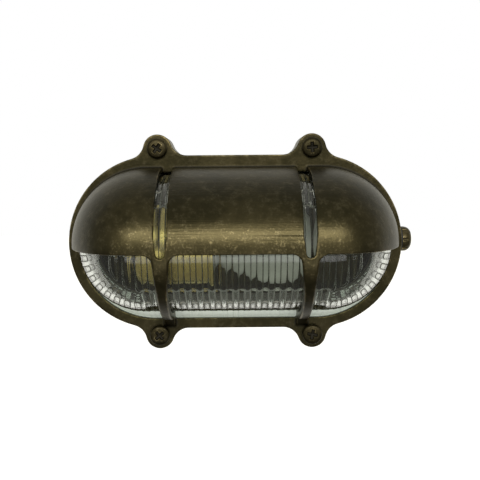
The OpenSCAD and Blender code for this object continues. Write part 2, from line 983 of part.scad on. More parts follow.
// Screw for the earth wire
module earth_screw() {
    head_at = floor_boss_at + 1;
    color(bright_brass)
        translate([earth_x, 0, earth_z])
            pan_screw(small_screw_d, small_head_d, small_head_h, head_at - 2, head_at);
}

// Cupped washer under the earth screw
module earth_washer() {
    color("#c9a660")
        difference() {
            post(earth_x, earth_z, small_head_d + 2, floor_boss_at, floor_boss_at + 1);
            post(earth_x, earth_z, small_screw_d + hole_clear, floor_boss_at - eps, floor_boss_at + 1 + eps);
        }
}

// Rubber grommet in the rear cable entry
module entry_grommet() {
    color("#1d1c1a")
        difference() {
            union() {
                post(entry_x, entry_rise, entry_d - push_clear, 0, floor_t + lip_t);
                post(entry_x, entry_rise, entry_d + 2 * lip_w, floor_t, floor_t + lip_t);
            }
            post(entry_x, entry_rise, cable_d, -eps, floor_t + lip_t + eps);
        }
}

// Quarter bend of a wire in its own plane, from +X towards +Y
module wire_bend() {
    rotate_extrude(angle = 90)
        translate([wire_turn_r, 0])
            circle(d = wire_d);
}

// Wire from a pole, along the floor, up beside the bracket and into the nipple
module wire(pole, turn_x, end_z) {
    z = pole_z + pole * pole_pitch;
    t = wire_turn_r;
    into_x = cap_x - 1;
    run_from = turn_x + t;
    translate([run_from, -wire_at, z])
        rotate([0, 90, 0])
            cylinder(d = wire_d, h = block_x + block_l / 3 - run_from);
    translate([run_from, -wire_at - t, z])
        rotate([0, 0, 90])
            wire_bend();
    translate([turn_x, -wire_at - t, z])
        rotate([90, 0, 0])
            cylinder(d = wire_d, h = lamp_at - wire_at - 2 * t);
    translate([turn_x, -lamp_at + t, z - t])
        rotate([0, -90, 0])
            rotate([0, 0, -90])
                wire_bend();
    translate([turn_x, -lamp_at, end_z + t])
        cylinder(d = wire_d, h = z - end_z - 2 * t);
    translate([turn_x + t, -lamp_at, end_z + t])
        rotate([90, 0, 0])
            rotate([0, 0, 180])
                wire_bend();
    translate([turn_x + t, -lamp_at, end_z])
        rotate([0, 90, 0])
            cylinder(d = wire_d, h = into_x - turn_x - t);
}

module live_wire() {
    color("#6b3a1e")
        wire(0, nipple_left_x - 6, wire_d / 2 + 0.2);
}

module neutral_wire() {
    color("#2f4f8f")
        wire(1, nipple_left_x - 6 - wire_d - 1.5, -wire_d / 2 - 0.2);
}

base();
front_cover();
glass_lens();
seat_gasket();
cover_gasket();
cover_screws();
blanking_plug();
plug_washer();
holder_bracket();
bracket_screws();
holder_nipple();
holder_locknut();
holder_cap();
holder_insert();
thread_shell();
centre_contact();
holder_skirt();
lamp();
terminal_block();
terminal_screws();
block_screw();
earth_screw();
earth_washer();
entry_grommet();
live_wire();
neutral_wire();
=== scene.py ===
import math

import bmesh
import bpy
import numpy as np
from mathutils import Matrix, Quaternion, Vector
from mathutils.kdtree import KDTree


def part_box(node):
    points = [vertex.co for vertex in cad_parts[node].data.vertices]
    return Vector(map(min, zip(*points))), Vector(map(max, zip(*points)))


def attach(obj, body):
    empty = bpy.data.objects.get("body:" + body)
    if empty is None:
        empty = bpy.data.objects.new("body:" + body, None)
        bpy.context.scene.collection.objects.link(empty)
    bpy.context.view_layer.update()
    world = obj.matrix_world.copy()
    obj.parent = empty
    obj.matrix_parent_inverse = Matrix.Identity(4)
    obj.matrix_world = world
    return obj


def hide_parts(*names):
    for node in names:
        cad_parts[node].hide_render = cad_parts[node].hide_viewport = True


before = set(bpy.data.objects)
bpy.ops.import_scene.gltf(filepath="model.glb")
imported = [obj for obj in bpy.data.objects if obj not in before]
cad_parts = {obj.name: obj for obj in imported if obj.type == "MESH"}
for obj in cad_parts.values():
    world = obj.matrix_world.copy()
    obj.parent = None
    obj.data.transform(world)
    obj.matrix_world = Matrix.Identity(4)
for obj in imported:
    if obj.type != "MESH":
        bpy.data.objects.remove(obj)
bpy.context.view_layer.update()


# Base: the back box, sand-cast in brass with the lugs and the entry boss in one piece, and screwed to the
# wall through its floor. The mould leaves soft edges, and years of handling rub the dark patina off them.
class Finish:
    """One socket of a finish: arithmetic on it adds Math nodes, and add() brings in any other node."""

    def __init__(self, tree, socket=None):
        self.tree = tree
        self.socket = socket

    def add(self, kind, settings=None, sockets=None, out=0):
        made = self.tree.nodes.new(kind)
        for key, value in (settings or {}).items():
            setattr(made, key, value)
        for key, value in (sockets or {}).items():
            if isinstance(value, Finish):
                self.tree.links.new(value.socket, made.inputs[key])
            else:
                made.inputs[key].default_value = value
        return Finish(self.tree, made.outputs[out] if made.outputs else None)

    def maths(self, operation, *values):
        return self.add("ShaderNodeMath", {"operation": operation}, dict(enumerate(values)))

    def blend(self, share, first, second):
        return self.add("ShaderNodeMix", {"data_type": "RGBA"}, {0: share, 6: first, 7: second}, out=2)

    def step(self, low, high):
        return self.add("ShaderNodeMapRange", {"interpolation_type": "SMOOTHSTEP"},
                        {"Value": self, "From Min": low, "From Max": high})

    def noise(self, place, scale, detail=3.0, rough=0.55):
        return self.add("ShaderNodeTexNoise", None,
                        {"Vector": place, "Scale": scale, "Detail": detail, "Roughness": rough})

    def __add__(self, other):
        return self.maths("ADD", self, other)

    __radd__ = __add__

    def __sub__(self, other):
        return self.maths("SUBTRACT", self, other)

    def __rsub__(self, other):
        return self.maths("SUBTRACT", other, self)

    def __mul__(self, other):
        return self.maths("MULTIPLY", self, other)

    __rmul__ = __mul__

    def __truediv__(self, other):
        return self.maths("DIVIDE", self, other)


def new_finish(name):
    """An empty material and the handle that its nodes are added through."""
    material = bpy.data.materials.new(name)
    material.use_nodes = True
    material.node_tree.nodes.clear()
    return material, Finish(material.node_tree)


def coat(material, shader):
    """Ends a finish in its surface output."""
    shader.add("ShaderNodeOutputMaterial", None, {"Surface": shader})
    return material


def patina_brass(name, dark, warm, rubbed, gloss, rub_low=0.2, rub_high=0.62):
    """Brass under a dark waxed patina, blotched and grained, gold on rubbed edges, darker in hollows (patina
    and painted shade), with a painted highlight band, partly rubbing, on the hood's crown.
    """
    material, f = new_finish(name)
    place = f.add("ShaderNodeTexCoord", out="Object")
    cloud = f.noise(place, 42.0, 4.0, 0.6)
    blotch = f.noise(place, 210.0, 5.0, 0.62)
    speck = f.noise(place, 900.0, 3.0, 0.6)
    proud = f.add("ShaderNodeAttribute", {"attribute_name": "proud"}, out="Fac")
    raised = proud - 0.1
    edge = raised.maths("MAXIMUM", raised, 0.0)
    rubbing = (blotch - 0.5) * 0.6 + (speck - 0.5) * 0.3 + (cloud - 0.5) * 0.5
    worn = (edge + rubbing * edge.step(0.0, 0.15)).step(rub_low, rub_high)
    # Hollows go much darker and less metallic: patina gathered there, and also painted shade, as along the line
    # where the hood meets the flange and in the screws' recesses.
    sunk = (0 - proud + (blotch - 0.5) * 0.12).step(0.05, 0.4)
    bare = (blotch * 0.6 + speck * 0.4).step(0.5, 0.66)
    # The hood's crown, the part farthest from the wall, is lightened towards mottled gold and made smoother:
    # partly rubbing, partly a painted highlight band.
    off_wall = 0 - f.add("ShaderNodeSeparateXYZ", None, {0: place}, out="Y")
    crown = off_wall.step(0.083, 0.0873)
    body = f.blend((cloud + (blotch - 0.5) * 0.5).step(0.36, 0.66), (*dark, 1), (*warm, 1))
    highlight_fleck = (speck * 0.7 + f.noise(place, 2600.0, 2.0) * 0.3).step(0.47, 0.68)
    body = f.blend(bare * 0.04 + crown * (0.08 + highlight_fleck * (0.1 + bare * 0.24)), body, (*rubbed, 1))
    body = f.blend(sunk * 0.75, body, (dark[0] * 0.35, dark[1] * 0.33, dark[2] * 0.32, 1))
    colour = f.blend(worn * 0.7, body, (*rubbed, 1))
    rough = gloss + (blotch - 0.5) * 0.16 + (speck - 0.5) * 0.12 - worn * 0.08 - crown * 0.08 + sunk * 0.2
    wax = (0.25 + bare) * (1 - sunk) * 0.22
    grain = blotch * 0.5 + speck * 0.5
    relief = f.add("ShaderNodeBump", None, {"Strength": 0.3, "Distance": 0.0006, "Height": grain})
    shader = f.add("ShaderNodeBsdfPrincipled", None, {
        "Base Color": colour, "Roughness": rough, "Metallic": 1.0 - sunk * 0.5, "Normal": relief,
        "Coat Weight": wax, "Coat Roughness": 0.3})
    return coat(material, shader)


def weld(mesh, reach, outward=False):
    """Joins a mesh's doubled corners into one skin, and turns its faces outward where that is asked."""
    skin = bmesh.new()
    skin.from_mesh(mesh)
    bmesh.ops.remove_doubles(skin, verts=skin.verts, dist=reach)
    if outward:
        bmesh.ops.recalc_face_normals(skin, faces=skin.faces)
    skin.to_mesh(mesh)
    skin.free()


def settled(points, edges, turns):
    """Moves each point halfway to the mean of its neighbours, as a mould's sand rounds a pattern."""
    a, b = edges[:, 0], edges[:, 1]
    count = len(points)
    degree = np.bincount(a, minlength=count) + np.bincount(b, minlength=count)
    degree = np.maximum(degree, 1)
    for _ in range(turns):
        mean = np.empty_like(points)
        for axis in range(3):
            total = np.bincount(a, points[b, axis], count) + np.bincount(b, points[a, axis], count)
            mean[:, axis] = total / degree
        points = points + 0.5 * (mean - points)
    return points


def cast_copy(node, name, grain, turns, most, material, true=None):
    """A copy of a CAD node with a casting's soft edges, which stores how proud each of its points stands."""
    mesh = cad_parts[node].data.copy()
    weld(mesh, 2e-6)
    piece = bpy.data.objects.new(name, mesh)
    bpy.context.scene.collection.objects.link(piece)
    skin = piece.modifiers.new("skin", "REMESH")
    skin.mode = "VOXEL"
    skin.voxel_size = grain
    depsgraph = bpy.context.evaluated_depsgraph_get()
    fine = bpy.data.meshes.new_from_object(piece.evaluated_get(depsgraph))
    piece.modifiers.clear()
    piece.data = fine
    points = np.empty(len(fine.vertices) * 3, np.float32)
    fine.vertices.foreach_get("co", points)
    edges = np.empty(len(fine.edges) * 2, np.int32)
    fine.edges.foreach_get("vertices", edges)
    points = points.reshape(-1, 3).astype(float)
    edges = edges.reshape(-1, 2)
    soft = settled(points, edges, turns)
    smooth = np.zeros(len(soft))
    if true:
        soft, smooth = true(soft)
    fine.vertices.foreach_set("co", soft.astype(np.float32).ravel())
    fine.update()
    normals = np.empty(len(fine.vertices) * 3, np.float32)
    fine.vertices.foreach_get("normal", normals)
    normals = normals.reshape(-1, 3)
    spread_turns, calmed = 14, 0.9
    spread = settled(soft, edges, spread_turns)
    proud = ((soft - spread) * normals).sum(1) / grain
    for _ in range(2):
        proud = settled(proud[:, None].repeat(3, 1), edges, 1)[:, 0]
    proud *= 1 - calmed * smooth
    layer = fine.attributes.new("proud", "FLOAT", "POINT")
    layer.data.foreach_set("value", proud.astype(np.float32))
    nearest = KDTree(len(soft))
    for index, point in enumerate(soft):
        nearest.insert(point, index)
    nearest.balance()
    thin = piece.modifiers.new("thin", "DECIMATE")
    thin.ratio = min(1.0, most / (2.0 * len(fine.polygons)))
    depsgraph = bpy.context.evaluated_depsgraph_get()
    mesh = bpy.data.meshes.new_from_object(piece.evaluated_get(depsgraph))
    piece.modifiers.clear()
    piece.data = mesh
    mesh.name = name
    mesh.shade_smooth()
    mesh.normals_split_custom_set_from_vertices([normals[nearest.find(v.co)[1]] for v in mesh.vertices])
    mesh.materials.clear()
    mesh.materials.append(material)
    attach(piece, "root")
    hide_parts(node)


def dress(node, material):
    """Gives a CAD node its finish."""
    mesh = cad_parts[node].data
    mesh.materials.clear()
    mesh.materials.append(material)
    mesh.polygons.foreach_set("material_index", [0] * len(mesh.polygons))


olive_brass = patina_brass("olive_brass", (0.032, 0.028, 0.013), (0.052, 0.044, 0.021), (0.44, 0.36, 0.17), 0.4)
cast_copy("base", "base_casting", 0.0008, 3, 120000, olive_brass)


# Rear entry grommet: black rubber, moulded with a groove and pressed into the hole in the base's floor.
# The supply cable comes in through it.
def rubber(name, colour, rough, bloom):
    """Moulded rubber with a dusty bloom."""
    material, f = new_finish(name)
    place = f.add("ShaderNodeTexCoord", out="Object")
    dust = f.noise(place, 160.0, 5.0, 0.65)
    skin = f.noise(place, 1500.0, 2.0)
    tint = f.blend(dust.step(0.42, 0.72) * bloom, (*colour, 1),
                   tuple(min(1.0, c * 0.8 + 0.12) for c in colour) + (1,))
    relief = f.add("ShaderNodeBump", None, {"Strength": 0.2, "Distance": 0.0003, "Height": skin})
    shader = f.add("ShaderNodeBsdfPrincipled", None, {
        "Base Color": tint, "Roughness": rough + (dust - 0.5) * 0.25, "Normal": relief})
    return coat(material, shader)


black_rubber = rubber("black_rubber", (0.018, 0.018, 0.018), 0.62, 0.35)
dress("entry_grommet", black_rubber)


# Terminal block, earth terminal and wires: a moulded block held by one screw, brass clamping screws, and two
# sleeved wires from the block through the lampholder's nipple.
def moulded(name, colour, rough):
    """Moulded plastic with a faint flow of colour and a fine spark texture."""
    material, f = new_finish(name)
    place = f.add("ShaderNodeTexCoord", out="Object")
    flow = f.noise(place, 90.0, 4.0, 0.6)
    spark = f.noise(place, 2200.0, 2.0)
    tint = f.blend(flow.step(0.3, 0.75), (*colour, 1), tuple(c * 0.82 for c in colour) + (1,))
    relief = f.add("ShaderNodeBump", None, {"Strength": 0.15, "Distance": 0.0002, "Height": spark})
    shader = f.add("ShaderNodeBsdfPrincipled", None, {
        "Base Color": tint, "Roughness": rough + (flow - 0.5) * 0.2, "Normal": relief})
    return coat(material, shader)


def plain_metal(name, colour, stain, rough, lines=(1.0, 1.0, 1.0), scale=700.0):
    """Bare or plated metal with fine tool lines and a thin stain."""
    material, f = new_finish(name)
    place = f.add("ShaderNodeTexCoord", out="Object")
    along = f.add("ShaderNodeMapping", None, {"Vector": place, "Scale": lines})
    tool = f.noise(along, scale, 3.0)
    age = f.noise(place, 120.0, 5.0, 0.62)
    tint = f.blend(age.step(0.4, 0.72) * 0.7, (*colour, 1), (*stain, 1))
    relief = f.add("ShaderNodeBump", None, {"Strength": 0.18, "Distance": 0.0003, "Height": tool})
    shader = f.add("ShaderNodeBsdfPrincipled", None, {
        "Base Color": tint, "Metallic": 1.0, "Normal": relief,
        "Roughness": rough + (tool - 0.5) * 0.2 + (age - 0.5) * 0.25})
    return coat(material, shader)


block_plastic = moulded("block_plastic", (0.76, 0.74, 0.66), 0.45)
clamp_brass = plain_metal("clamp_brass", (0.72, 0.52, 0.22), (0.42, 0.29, 0.12), 0.32)
zinc_plate = plain_metal("zinc_plate", (0.6, 0.6, 0.58), (0.42, 0.42, 0.4), 0.36)
brown_sleeve = moulded("brown_sleeve", (0.14, 0.05, 0.02), 0.42)
blue_sleeve = moulded("blue_sleeve", (0.02, 0.07, 0.28), 0.42)
dress("terminal_block", block_plastic)
dress("terminal_screws", clamp_brass)
dress("block_screw", zinc_plate)
dress("earth_screw", clamp_brass)
dress("earth_washer", clamp_brass)
dress("live_wire", brown_sleeve)
dress("neutral_wire", blue_sleeve)


# Bracket and lampholder: a zinc-plated steel angle on two screws carries a brass holder on a threaded nipple.
# The cap and skirt are spun from sheet, the insert is glazed ceramic, and the thread shell is rolled brass.
spun_brass = plain_metal("spun_brass", (0.95, 0.76, 0.28), (0.7, 0.54, 0.2), 0.28, (1.0, 0.12, 0.12), 900.0)
glazed_ceramic = moulded("glazed_ceramic", (0.82, 0.79, 0.72), 0.2)
dress("holder_bracket", zinc_plate)
dress("bracket_screws", zinc_plate)
dress("holder_nipple", zinc_plate)
dress("holder_locknut", clamp_brass)
dress("holder_cap", spun_brass)
dress("holder_skirt", spun_brass)
dress("holder_insert", glazed_ceramic)
dress("thread_shell", clamp_brass)
dress("centre_contact", clamp_brass)


# Lamp: a blown opal globe cemented into a plated screw cap and screwed into the holder.
# The glass is white all through, and its cap ends where the globe's neck begins.
def opal_and_cap(name, cap_end):
    """White opal glass beyond the place where the plated cap ends."""
    material, f = new_finish(name)
    place = f.add("ShaderNodeTexCoord", out="Object")
    along = f.add("ShaderNodeSeparateXYZ", None, {0: place}, out="X")
    cloud = f.noise(place, 60.0, 4.0, 0.6)
    scuff = f.noise(place, 800.0, 3.0)
    cap = 1 - along.step(cap_end - 0.0004, cap_end + 0.0004)
    opal = f.blend(cloud.step(0.3, 0.7), (0.75, 0.76, 0.68, 1), (0.65, 0.66, 0.59, 1))
    tint = f.blend(cap, opal, (0.62, 0.6, 0.55, 1))
    shader = f.add("ShaderNodeBsdfPrincipled", None, {
        "Base Color": tint, "Metallic": cap, "Roughness": 0.22 + cap * 0.15 + (scuff - 0.5) * 0.1})
    return coat(material, shader)


cap_length = 0.026
dress("lamp", opal_and_cap("opal_glass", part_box("lamp")[0].x + cap_length))


# Gaskets: two flat silicone rings, cut from sheet, that the cover squeezes when it is screwed down.
# The one under the rim of the glass is dark brown, and the one over it is pale.
dress("seat_gasket", rubber("dark_brown_silicone", (0.2, 0.19, 0.15), 0.6, 0.1))
dress("cover_gasket", rubber("pale_silicone", (0.93, 0.94, 0.91), 0.5, 0.1))


# Lens: one piece of clear pressed glass with round-ended flutes pressed into its inside and fine ones round the
# outside of its wall; painted lines of shade and highlight run along their edges. It follows the hood's dome
# and is clamped by its rim, whose face is pale, ground and faintly glowing on its bottom half: a painted glow.
glass_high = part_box("glass_lens")[1]
end_x = 0.052
rim_r = glass_high.z
rim_x = glass_high.x - rim_r
rim_back, rim_face, rim_edge = -0.008, -0.005, 0.0005
flange_y = glass_high.y + rim_back
wall_arc_r, wall_arc_back = 0.0745, 0.030
front_arc_r, front_arc_out = 0.037, 0.0225
arcs_rise, arcs_run = 0.6, 0.8
glass_outside, glass_inside = 0.0037, 0.0077


def dome_line(inset, rows):
    """Half section of the dome at a depth inside the hood's outside, from the flange's plane to the crown."""
    wall_turn, front_turn = math.atan2(arcs_rise, arcs_run), math.pi / 2
    wall_r, front_r = wall_arc_r - inset, front_arc_r - inset
    line = []
    for r in rows:
        if r <= 1.0:
            angle = wall_turn * r
            line.append((-wall_arc_back + wall_r * math.cos(angle), wall_r * math.sin(angle)))
        else:
            angle = wall_turn + (front_turn - wall_turn) * (r - 1.0)
            line.append((front_r * math.cos(angle), front_arc_out + front_r * math.sin(angle)))
    line[-1] = (0.0, front_arc_out + front_arc_r - inset)
    return line


inner_rows = np.concatenate([[0, 0.035], np.linspace(0.07, 0.48, 5)[:-1], np.linspace(0.48, 0.66, 15)[:-1],
                             np.linspace(0.66, 0.93, 6)[:-1], np.linspace(0.93, 1.26, 20)[:-1],
                             np.linspace(1.26, 1.78, 16)[:-1], np.linspace(1.78, 2.0, 5)])
outer_rows = np.concatenate([np.linspace(0, 0.75, 6)[:-1], np.linspace(0.75, 0.9, 13)[:-1],
                             np.linspace(0.9, 1, 3)[:-1], np.linspace(1, 2, 11)])
inner_line = dome_line(glass_inside, inner_rows)[::-1]
outer_line = dome_line(glass_outside, outer_rows)
skirt_in, skirt_out = inner_line[-1][0], outer_line[0][0]
section = inner_line + [(skirt_in, -0.004), (skirt_in, -0.0074)]
inside_count = len(section)
section += [(skirt_in + 0.0004, rim_back), (rim_r - rim_edge, rim_back), (rim_r, rim_back + rim_edge),
            (rim_r, rim_face - rim_edge), (rim_r - rim_edge, rim_face), (skirt_out + 0.0012, rim_face),
            (skirt_out + 0.00057, -0.00474), (skirt_out + 0.00016, -0.00421),
            (skirt_out, -0.0035), (skirt_out, -0.002)]
rim_rows = (len(section) - 6, len(section) - 3)
outer_first = len(section)
section += outer_line


def bands(rows, around):
    """The faces between rows of points that each run once round a piece."""
    faces = []
    for row in range(rows - 1):
        this, other = row * around, (row + 1) * around
        for k in range(around):
            nxt = (k + 1) % around
            faces.append((this + k, this + nxt, other + nxt, other + k))
    return faces


side_flutes, end_flutes = 16, 17
half_flute = (0.15, 0.21, 0.245, 0.275, 0.31, 0.36)
across = [0.0] + [0.5 - v for v in half_flute[::-1]] + [0.5] + [0.5 + v for v in half_flute]
end_turns = [math.pi * ((k + v) / end_flutes - 0.5) for k in range(end_flutes) for v in across]
side_places = [end_x * (1 - 2 * (k + v) / side_flutes) for k in range(side_flutes) for v in across]
round_plan = [(end_x, turn) for turn in end_turns]
round_plan += [(x, math.pi / 2) for x in side_places]
round_plan += [(-end_x, math.pi + turn) for turn in end_turns]
round_plan += [(-x, -math.pi / 2) for x in side_places]
points, inside, outside = [], [], []
flute_end, flute_run_out, rim_share, outer_flute_band = -0.001, 0.005, 0.45, 0.013
for row, (r, h) in enumerate(section):
    on_rim = r > skirt_out + 0.002
    stretch = rim_x / end_x if on_rim else 1.0
    fade = min(1.0, max(0.0, (h - flute_end) / flute_run_out))
    fade = fade if row < inside_count else rim_share if rim_rows[0] <= row <= rim_rows[1] else 0.0
    fine = 1.0 if outer_first <= row and r > skirt_out - outer_flute_band else 0.0
    for x, turn in round_plan:
        points.append((x * stretch + r * math.cos(turn), flange_y - h, r * math.sin(turn)))
        inside.append(fade)
        outside.append(fine)
blank_mesh = bpy.data.meshes.new("lens_blank")
blank_mesh.from_pydata(points, [], bands(len(section), len(round_plan)))
blank_mesh.attributes.new("inside", "FLOAT", "POINT").data.foreach_set("value", inside)
blank_mesh.attributes.new("outside", "FLOAT", "POINT").data.foreach_set("value", outside)
weld(blank_mesh, 1e-6, outward=True)
lens = bpy.data.objects.new("lens", blank_mesh)
bpy.context.scene.collection.objects.link(lens)


def tree_with_sizes(name, sizes, extra=()):
    """A geometry tree with one named input for each size, and the modifier inputs' identifiers."""
    tree = bpy.data.node_groups.new(name, "GeometryNodeTree")
    tree.interface.new_socket("Geometry", in_out="INPUT", socket_type="NodeSocketGeometry")
    keys = {}
    for label in sizes:
        keys[label] = tree.interface.new_socket(label, in_out="INPUT", socket_type="NodeSocketFloat").identifier
    for label, kind in extra:
        keys[label] = tree.interface.new_socket(label, in_out="INPUT", socket_type=kind).identifier
    tree.interface.new_socket("Geometry", in_out="OUTPUT", socket_type="NodeSocketGeometry")
    given = tree.nodes.new("NodeGroupInput")
    inputs = {socket.name: Finish(tree, socket) for socket in given.outputs if socket.name}
    return tree, keys, inputs


def grown(piece, tree, keys, values):
    """Runs a geometry tree on a piece and leaves a plain mesh."""
    modifier = piece.modifiers.new("grown", "NODES")
    modifier.node_group = tree
    for label, value in values.items():
        modifier[keys[label]] = value
    depsgraph = bpy.context.evaluated_depsgraph_get()
    mesh = bpy.data.meshes.new_from_object(piece.evaluated_get(depsgraph))
    piece.modifiers.clear()
    piece.data = mesh
    mesh.shade_smooth()


flute_sizes = {"Flute pitch": 0.0065, "Flute width": 0.0034, "Front depth": 0.0005, "Side depth": 0.001,
               "Front edge": 0.0005, "Side edge": 0.0005, "End depth": 0.0006, "End edge": 0.0005,
               "Straight length": 2 * end_x, "Front reach": 0.0215, "Lap": 0.0007, "Front field": 0.048,
               "Front length": 0.0682, "End reach": 0.0324, "Outer reach": 0.0303, "Outer depth": 0.0001,
               "End flutes": float(end_flutes)}
flutes, flute_keys, put = tree_with_sizes("press_flutes", flute_sizes, [("Glass", "NodeSocketMaterial")])
g = Finish(flutes)
spot = g.add("GeometryNodeInputPosition")
x, z = (g.add("ShaderNodeSeparateXYZ", None, {0: spot}, out=axis) for axis in "XZ")
pitch, half = put["Flute pitch"], put["Straight length"] / 2
tip = put["Flute width"] / 2
height = z.maths("ABSOLUTE", z)
count_side = (x + half) / pitch
side_off = ((count_side - count_side.maths("FLOOR", count_side)) - 0.5) * pitch
count_front = count_side + 0.5
front_off = ((count_front - count_front.maths("FLOOR", count_front)) - 0.5) * pitch
far = x.maths("ABSOLUTE", x)
over = far - half
radius = over.maths("SQRT", over * over + z * z)
angle = over.maths("ARCTAN2", z, over) / math.pi + 0.5
count_end = angle * put["End flutes"]
end_off = ((count_end - count_end.maths("FLOOR", count_end)) - 0.5) * (radius * math.pi / put["End flutes"])


def flute(off, past_tip, edge):
    """1 inside a round-ended flute: off its centre line, before its tip's centre, half its edge's width."""
    before = past_tip.maths("MAXIMUM", past_tip, 0.0)
    away = off.maths("SQRT", off * off + before * before)
    ramp = (away - tip + edge) / (2 * edge)
    return 1 - ramp.maths("MINIMUM", ramp.maths("MAXIMUM", ramp, 0.0), 1.0)


in_middle = over.maths("LESS_THAN", over, 0.0)
beyond = far.maths("MAXIMUM", far - put["Front field"], 0.0)
front_end = put["Front reach"] + put["Lap"]
front_end = front_end.maths("SQRT", front_end.maths("MAXIMUM", front_end * front_end - beyond * beyond, 0.0))
on_front = far.maths("LESS_THAN", far, put["Front length"])
side_mask = flute(side_off, put["Front reach"] - put["Lap"] + tip - height, put["Side edge"])
front_mask = flute(front_off, height - front_end + tip, put["Front edge"]) * on_front
end_mask = flute(end_off, put["End reach"] + tip - radius, put["End edge"])
side_or_end = in_middle * side_mask + (1 - in_middle) * end_mask
side_or_end_depth = in_middle * put["Side depth"] + (1 - in_middle) * put["End depth"]
side_cut = side_or_end * side_or_end * (3 - 2 * side_or_end) * side_or_end_depth
front_cut = front_mask * front_mask * (3 - 2 * front_mask) * put["Front depth"]
cut = side_cut.maths("MAXIMUM", side_cut, front_cut)
inner = g.add("GeometryNodeInputNamedAttribute", {"data_type": "FLOAT"}, {"Name": "inside"})
outer = g.add("GeometryNodeInputNamedAttribute", {"data_type": "FLOAT"}, {"Name": "outside"})
outer_side = flute(side_off, put["Outer reach"] + tip - height, put["End edge"])
outer_end = flute(end_off, put["Outer reach"] + tip - radius, put["End edge"])
outer_mask = in_middle * outer_side + (1 - in_middle) * outer_end
outer_cut = outer_mask * outer * put["Outer depth"]
drop = (cut * inner + outer_cut) * -1.0
normal = g.add("GeometryNodeInputNormal")
shift = g.add("ShaderNodeVectorMath", {"operation": "SCALE"}, {0: normal, "Scale": drop})
moved = g.add("GeometryNodeSetPosition", None, {"Geometry": put["Geometry"], "Offset": shift})
# The flutes' edges are stored for the painted lines in the glass.
edge_line = side_or_end * (1 - side_or_end)
edge_line = edge_line.maths("MAXIMUM", edge_line, front_mask * (1 - front_mask)) * inner * 4.0
edge_line = edge_line + outer_mask * (1 - outer_mask) * outer * 4.0
marked = g.add("GeometryNodeStoreNamedAttribute", {"data_type": "FLOAT", "domain": "POINT"},
               {"Geometry": moved, "Name": "groove", "Value": edge_line})
real = g.add("GeometryNodeRealizeInstances", None, {"Geometry": marked})
glazed = g.add("GeometryNodeSetMaterial", None, {"Geometry": real, "Material": put["Glass"]})
g.add("NodeGroupOutput", None, {"Geometry": glazed})


def pressed_glass(name):
    """Clear pressed glass with a faint green cast, which lets the lamps' light through, with a painted glow on
    its rim's face and painted lines of shade and highlight along its flutes' edges.
    """
    material, f = new_finish(name)
    place = f.add("ShaderNodeTexCoord", out="Object")
    swirl = f.noise(place, 70.0, 3.0)
    grime = f.noise(place, 260.0, 5.0, 0.65)
    tint = f.blend(swirl.step(0.3, 0.7), (0.84, 0.875, 0.84, 1), (0.86, 0.89, 0.86, 1))
    ripple = f.add("ShaderNodeBump", None, {"Strength": 0.05, "Distance": 0.0006, "Height": swirl})
    glass = f.add("ShaderNodeBsdfPrincipled", None, {
        "Base Color": tint, "Roughness": 0.015 + grime.step(0.5, 0.8) * 0.05, "IOR": 1.5,
        "Transmission Weight": 1.0, "Normal": ripple})
    clear = f.add("ShaderNodeBsdfTransparent", None, {"Color": (0.9, 0.94, 0.91, 1)})
    shadow_ray = f.add("ShaderNodeLightPath", out="Is Shadow Ray")
    x, y, z = (f.add("ShaderNodeSeparateXYZ", None, {0: place}, out=axis) for axis in "XYZ")
    wide, tall = x.maths("ABSOLUTE", x), z.maths("ABSOLUTE", z)
    past = wide.maths("MAXIMUM", wide - end_x, 0.0)
    # Painted glow on the rim: on its bottom half only, as if lit from below, the rim's face is pale, matte and
    # faintly emitting, in place of light piped down through the glass.
    beside = past.maths("SQRT", past * past + z * z).step(skirt_out - 0.0002, skirt_out)
    glow_from_below = 1 - z.step(-0.02, -0.01)
    behind_front = y.step(flange_y + 0.0042, flange_y + 0.0048)
    before_back = 1 - y.step(flange_y + 0.0062, flange_y + 0.0068)
    ground = f.add("ShaderNodeBsdfPrincipled", None, {
        "Base Color": (0.9, 0.95, 0.88, 1), "Roughness": 0.5,
        "Emission Color": (0.8, 0.88, 0.8, 1), "Emission Strength": 0.2})
    body = f.add("ShaderNodeMixShader", None, {
        0: beside * glow_from_below * behind_front * before_back, 1: glass, 2: ground})
    # Painted lines along the flutes' edges: dark, and pale over the band where the dark inside shows through,
    # in place of the light and shade that the edges bend.
    groove = f.add("ShaderNodeAttribute", {"attribute_name": "groove"}, out="Fac").step(0.2, 0.9)
    pale = tall.step(0.0205, 0.0215) * (1 - tall.step(0.0295, 0.0325)) * (1 - wide.step(0.0515, 0.0525))
    dust = f.add("ShaderNodeBsdfPrincipled", None, {
        "Base Color": f.blend(pale, (0.06, 0.06, 0.045, 1), (0.45, 0.46, 0.41, 1)),
        "Roughness": 0.9, "Specular IOR Level": 0.0})
    body = f.add("ShaderNodeMixShader", None, {0: groove * 0.8, 1: body, 2: dust})
    return coat(material, f.add("ShaderNodeMixShader", None, {0: shadow_ray, 1: body, 2: clear}))


grown(lens, flutes, flute_keys, {**flute_sizes, "Glass": pressed_glass("pressed_glass")})
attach(lens, "root")
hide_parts("glass_lens")


